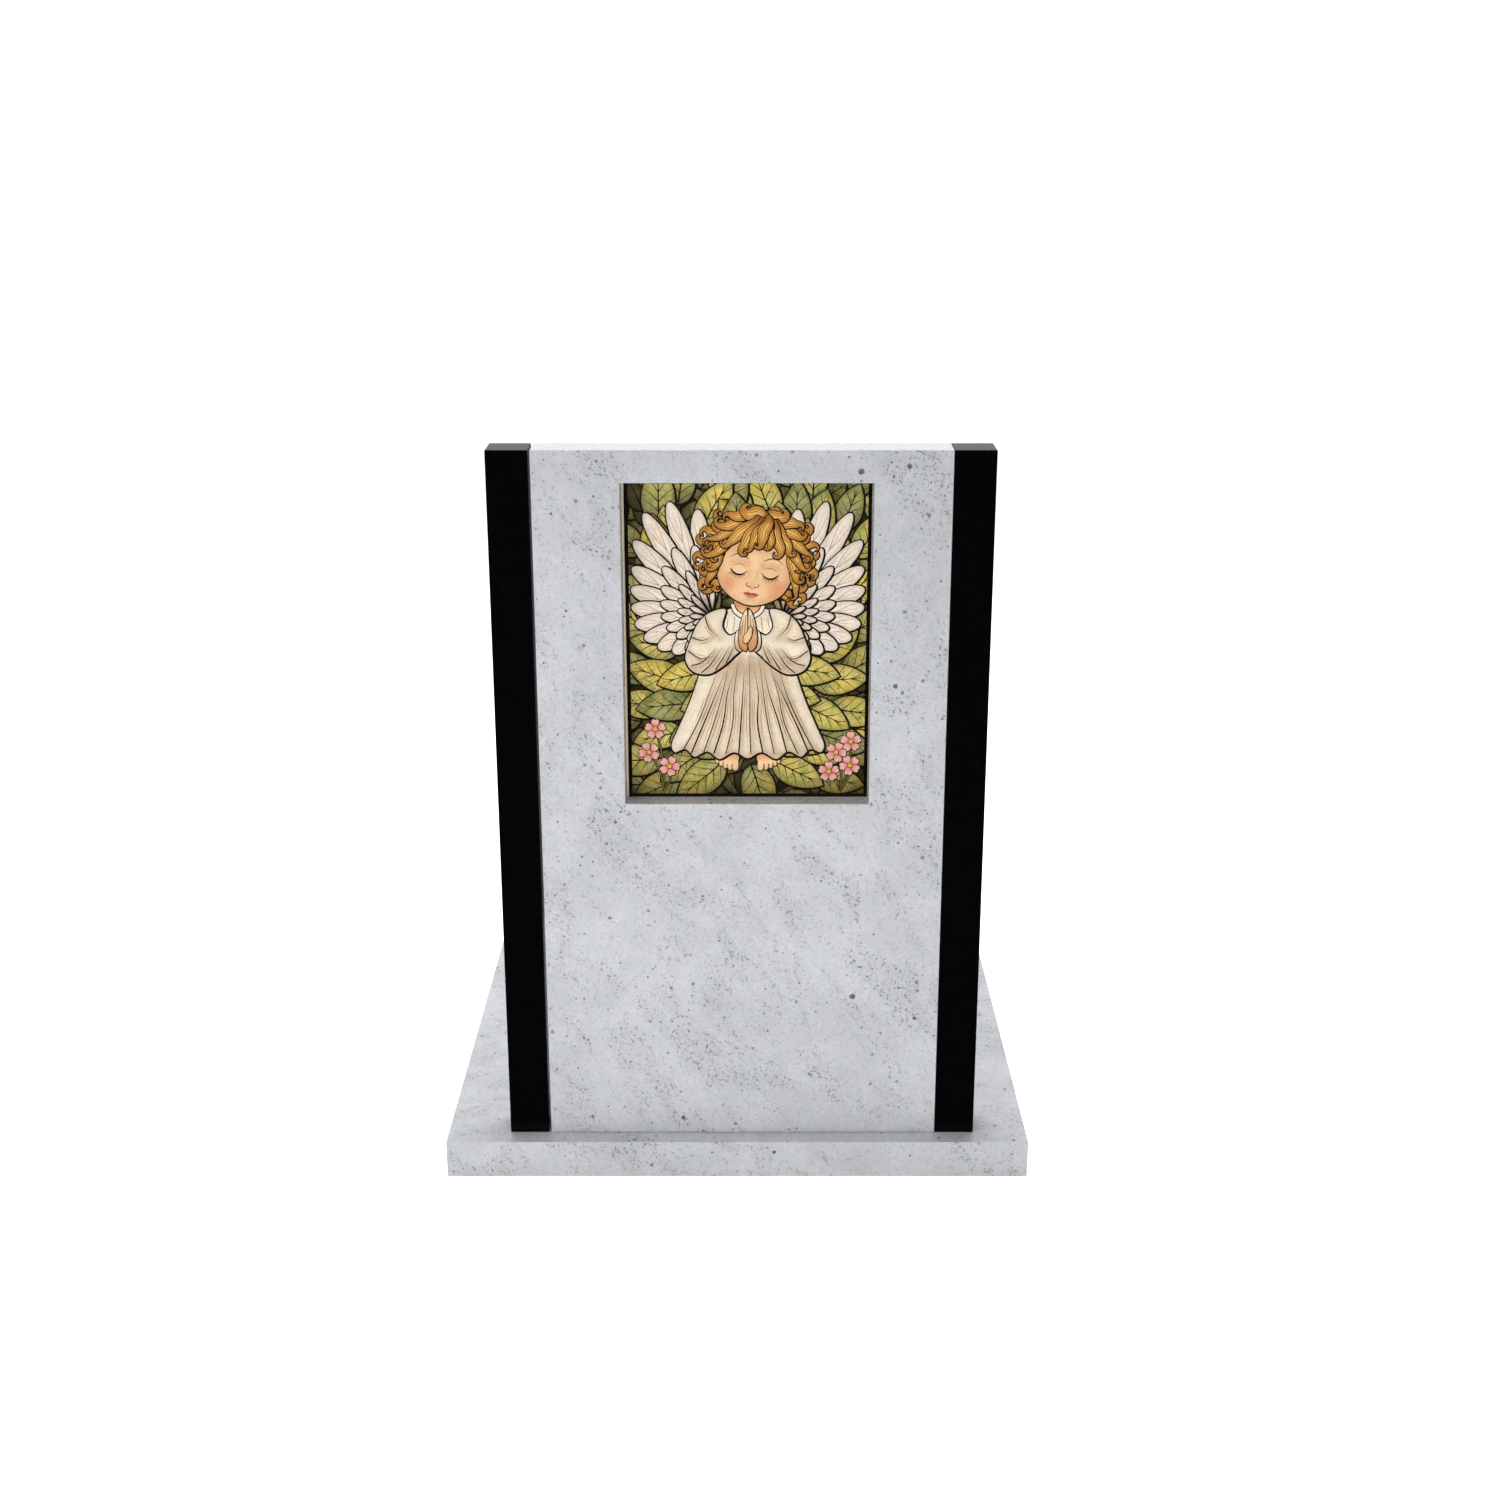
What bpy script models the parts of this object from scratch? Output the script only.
"""A child's memorial stone, set out as its mason would build it.

A pale granite stele stands between two black granite pillars, close to the
front edge of a thin base plate of the same pale granite. A window is cut right
through the stele, and a flat picture panel stands on its sill, half way
through the stone.

Metres, +Z up. +X is the viewer's right and -Y faces the viewer. The origin is
on the ground, under the middle of the base plate.
"""

import math

import bmesh
import bpy
from mathutils import Vector

# Base plate
BASE_WIDTH = 0.750
BASE_DEPTH = 0.750
BASE_THICKNESS = 0.050

# Upright stones: the stele and the pillars are flush in front, behind and on top
UPRIGHT_HEIGHT = 0.890
UPRIGHT_THICKNESS = 0.050
PILLAR_WIDTH = 0.050
STELE_WIDTH = 0.497

# Where the uprights stand on the base plate
LEFT_OVERHANG = 0.081
FRONT_SETBACK = 0.026

# Window, measured from the stele's left side and top
WINDOW_SIDE_MARGIN = 0.1045
WINDOW_TOP_MARGIN = 0.039
WINDOW_WIDTH = 0.2995
WINDOW_HEIGHT = 0.399

# Picture panel in the window
PANEL_RECESS = 0.0253
PANEL_THICKNESS = 0.010

# Joints between the pieces
OPEN_JOINT = 0.0027
CLOSE_JOINT = 0.0003
PANEL_SIDE_GAP = 0.0025
PANEL_TOP_GAP = 0.001

# Arrises: the small polished roundings along every edge that turns more than the angle
STONE_ARRIS = 0.001
PANEL_ARRIS = 0.0005
ARRIS_SEGMENTS = 2
ARRIS_ANGLE = math.radians(30.0)

# How far the window's cutter runs past each face of the stele
CUTTER_OVERRUN = 0.02

# Finishes: linear colour and roughness
PALE_GRANITE = ((0.58, 0.60, 0.62), 0.35)
BLACK_GRANITE = ((0.004, 0.004, 0.005), 0.10)
PICTURE_PRINT = ((0.30, 0.24, 0.12), 0.20)


def clear_scene() -> None:
    """Remove whatever the file holds before the stone is built."""
    for thing in list(bpy.data.objects):
        bpy.data.objects.remove(thing, do_unlink=True)


def make_finish(name: str, finish: tuple) -> bpy.types.Material:
    """Make a plain, non-metallic material.

    Args:
        name: The material's name.
        finish: Its linear colour and its roughness.

    Returns:
        The new material.
    """
    colour, roughness = finish
    material = bpy.data.materials.new(name)
    material.use_nodes = True
    shader = material.node_tree.nodes["Principled BSDF"]
    shader.inputs["Base Color"].default_value = (*colour, 1.0)
    shader.inputs["Roughness"].default_value = roughness
    shader.inputs["Metallic"].default_value = 0.0
    return material


def make_block(
    name: str, size: Vector, corner: Vector, parent: bpy.types.Object | None = None
) -> bpy.types.Object:
    """Make a square-edged block whose origin is its left front bottom corner.

    Args:
        name: The object's name.
        size: Width, depth and height.
        corner: Where its left front bottom corner is, from its parent's origin.
        parent: The object that it stands with, or None.

    Returns:
        The new block.
    """
    mesh = bpy.data.meshes.new(name)
    shape = bmesh.new()
    bmesh.ops.create_cube(shape, size=1.0)
    bmesh.ops.translate(shape, verts=shape.verts, vec=(0.5, 0.5, 0.5))
    bmesh.ops.scale(shape, verts=shape.verts, vec=size)
    shape.to_mesh(mesh)
    shape.free()
    block = bpy.data.objects.new(name, mesh)
    block.location = corner
    block.parent = parent
    bpy.context.scene.collection.objects.link(block)
    return block


def dress(block: bpy.types.Object, material: bpy.types.Material, arris: float) -> None:
    """Give a block its material and break its edges with small arrises."""
    block.data.materials.append(material)
    edges = block.modifiers.new("arris", "BEVEL")
    edges.width = arris
    edges.segments = ARRIS_SEGMENTS
    edges.limit_method = "ANGLE"
    edges.angle_limit = ARRIS_ANGLE
    edges.loop_slide = False


def build_base(material: bpy.types.Material) -> bpy.types.Object:
    """Lay the base plate on the ground, centred on the origin."""
    size = Vector((BASE_WIDTH, BASE_DEPTH, BASE_THICKNESS))
    corner = Vector((-BASE_WIDTH / 2, -BASE_DEPTH / 2, 0.0))
    base = make_block("base_plate", size, corner)
    dress(base, material, STONE_ARRIS)
    return base


def set_out_uprights() -> bpy.types.Object:
    """Mark where the left pillar's outer front foot stands on the base plate."""
    mark = bpy.data.objects.new("uprights", None)
    left = -BASE_WIDTH / 2 + LEFT_OVERHANG
    front = -BASE_DEPTH / 2 + FRONT_SETBACK
    mark.location = (left, front, BASE_THICKNESS + CLOSE_JOINT)
    bpy.context.scene.collection.objects.link(mark)
    return mark


def build_pillars(material: bpy.types.Material, mark: bpy.types.Object) -> None:
    """Stand a black pillar at each side of the stele's place."""
    size = Vector((PILLAR_WIDTH, UPRIGHT_THICKNESS, UPRIGHT_HEIGHT))
    right = PILLAR_WIDTH + OPEN_JOINT + STELE_WIDTH + CLOSE_JOINT
    for name, across in (("left_pillar", 0.0), ("right_pillar", right)):
        pillar = make_block(name, size, Vector((across, 0.0, 0.0)), mark)
        dress(pillar, material, STONE_ARRIS)


def sill_height() -> float:
    """Return how high the window's sill lies above the stele's foot."""
    return UPRIGHT_HEIGHT - WINDOW_TOP_MARGIN - WINDOW_HEIGHT


def build_stele(material: bpy.types.Material, mark: bpy.types.Object) -> bpy.types.Object:
    """Stand the stele between the pillars and cut its window right through.

    Args:
        material: The stele's stone.
        mark: The empty that marks the uprights' place.

    Returns:
        The stele, whose origin is its left front foot.
    """
    size = Vector((STELE_WIDTH, UPRIGHT_THICKNESS, UPRIGHT_HEIGHT))
    stele = make_block("stele", size, Vector((PILLAR_WIDTH + OPEN_JOINT, 0.0, 0.0)), mark)
    cut = Vector((WINDOW_WIDTH, UPRIGHT_THICKNESS + 2 * CUTTER_OVERRUN, WINDOW_HEIGHT))
    corner = Vector((WINDOW_SIDE_MARGIN, -CUTTER_OVERRUN, sill_height()))
    cutter = make_block("window_cutter", cut, corner, stele)
    cutter.hide_render = True
    cutter.display_type = "WIRE"
    window = stele.modifiers.new("window", "BOOLEAN")
    window.operation = "DIFFERENCE"
    window.solver = "EXACT"
    window.object = cutter
    dress(stele, material, STONE_ARRIS)
    return stele


def build_panel(material: bpy.types.Material, stele: bpy.types.Object) -> None:
    """Stand the picture panel on the window's sill, close to its right side."""
    width = WINDOW_WIDTH - PANEL_SIDE_GAP - CLOSE_JOINT
    height = WINDOW_HEIGHT - CLOSE_JOINT - PANEL_TOP_GAP
    size = Vector((width, PANEL_THICKNESS, height))
    left = WINDOW_SIDE_MARGIN + PANEL_SIDE_GAP
    corner = Vector((left, PANEL_RECESS, sill_height() + CLOSE_JOINT))
    panel = make_block("picture_panel", size, corner, stele)
    dress(panel, material, PANEL_ARRIS)


def main() -> None:
    """Build the whole memorial stone."""
    clear_scene()
    pale_granite = make_finish("pale_granite", PALE_GRANITE)
    black_granite = make_finish("black_granite", BLACK_GRANITE)
    picture_print = make_finish("picture_print", PICTURE_PRINT)
    build_base(pale_granite)
    mark = set_out_uprights()
    build_pillars(black_granite, mark)
    stele = build_stele(pale_granite, mark)
    build_panel(picture_print, stele)


main()
